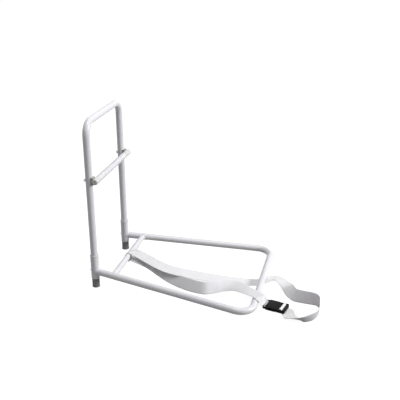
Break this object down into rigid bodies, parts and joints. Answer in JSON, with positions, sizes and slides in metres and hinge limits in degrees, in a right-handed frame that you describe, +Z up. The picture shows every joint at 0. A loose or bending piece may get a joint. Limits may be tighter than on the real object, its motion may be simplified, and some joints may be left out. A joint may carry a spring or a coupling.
{
  "type": "bed assist rail",
  "caption": "White tube bed assist rail: lift-out inverted-U handle with a grab bar, on a flared under-mattress base with a webbing safety strap and side-release buckle.",
  "frame": {"origin": "on the floor, under the middle of the object's bounding box", "axes": "+X from the upright handle along the base towards the bed and the strap's loop, +Y from the near leg to the far leg, +Z up"},
  "size_m": [0.827, 0.5136, 0.6245],
  "materials": {
    "frame_paint": "white powder coat, fine satin texture",
    "collar_plastic": "light grey-white moulded plastic",
    "foot_rubber": "dark grey rubber, matt",
    "button_steel": "plated steel",
    "spring_steel": "bare spring steel",
    "core_steel": "zinc-plated steel tube",
    "grip_foam": "off-white ribbed soft grip",
    "cap_plastic": "cream moulded plastic",
    "saddle_plastic": "dark grey moulded plastic",
    "bolt_steel": "zinc-plated steel",
    "webbing": "white woven polypropylene webbing",
    "buckle_plastic": "black acetal, fine grain"
  },
  "bodies": {
    "root": {"base_frame": "frame_paint", "crossbar": "frame_paint", "sleeve_near": "frame_paint", "sleeve_far": "frame_paint", "sleeve_collar_near": "collar_plastic", "sleeve_collar_far": "collar_plastic", "foot_cap_near": "foot_rubber", "foot_cap_far": "foot_rubber", "strap_wrap": "webbing", "strap_upper_run": "webbing", "strap_lower_run": "webbing", "strap_over_bar": "webbing", "strap_loop_far": "webbing", "buckle_female": "buckle_plastic"},
    "handle": {"handle_frame": "frame_paint", "grab_bar_core": "core_steel", "grab_bar_grip": "grip_foam", "grab_bar_cap_near": "cap_plastic", "grab_bar_cap_far": "cap_plastic", "grab_saddle_near": "saddle_plastic", "grab_saddle_far": "saddle_plastic", "grab_bolts": "bolt_steel", "grab_nuts": "bolt_steel", "snap_spring_near": "spring_steel", "snap_spring_far": "spring_steel"},
    "button_near": {"snap_button_near": "button_steel"},
    "button_far": {"snap_button_far": "button_steel"},
    "buckle_loose_half": {"buckle_male": "buckle_plastic", "strap_loop_near": "webbing"},
    "prong_near": {"buckle_prong_near": "buckle_plastic"},
    "prong_far": {"buckle_prong_far": "buckle_plastic"}
  },
  "joints": [
    {"name": "handle_lift", "type": "slide", "parent": "root", "child": "handle", "axis": [0, 0, 1], "range_m": [0, 0.05], "deforming": ["snap_button_near", "snap_button_far"]},
    {"name": "near_button_press", "type": "slide", "parent": "handle", "child": "button_near", "axis": [1, 0, 0], "range_m": [0, 0.0075], "stiffness_N_per_m": 1500, "deforming": ["snap_spring_near"]},
    {"name": "far_button_press", "type": "slide", "parent": "handle", "child": "button_far", "axis": [1, 0, 0], "range_m": [0, 0.0075], "stiffness_N_per_m": 1500, "deforming": ["snap_spring_far"]},
    {"name": "buckle_release", "type": "slide", "parent": "root", "child": "buckle_loose_half", "axis": [0.9703, -0.2419, 0], "range_m": [0, 0.04], "deforming": ["buckle_prong_near", "buckle_prong_far"]},
    {"name": "near_prong_squeeze", "type": "hinge", "parent": "buckle_loose_half", "child": "prong_near", "pos_m": [0.26939, -0.18645, 0.009], "axis": [0, 0, -1], "range_deg": [0, 8], "stiffness_Nm_per_rad": 0.3},
    {"name": "far_prong_squeeze", "type": "hinge", "parent": "buckle_loose_half", "child": "prong_far", "pos_m": [0.27713, -0.1554, 0.009], "axis": [0, 0, 1], "range_deg": [0, 8], "stiffness_Nm_per_rad": 0.3}
  ]
}
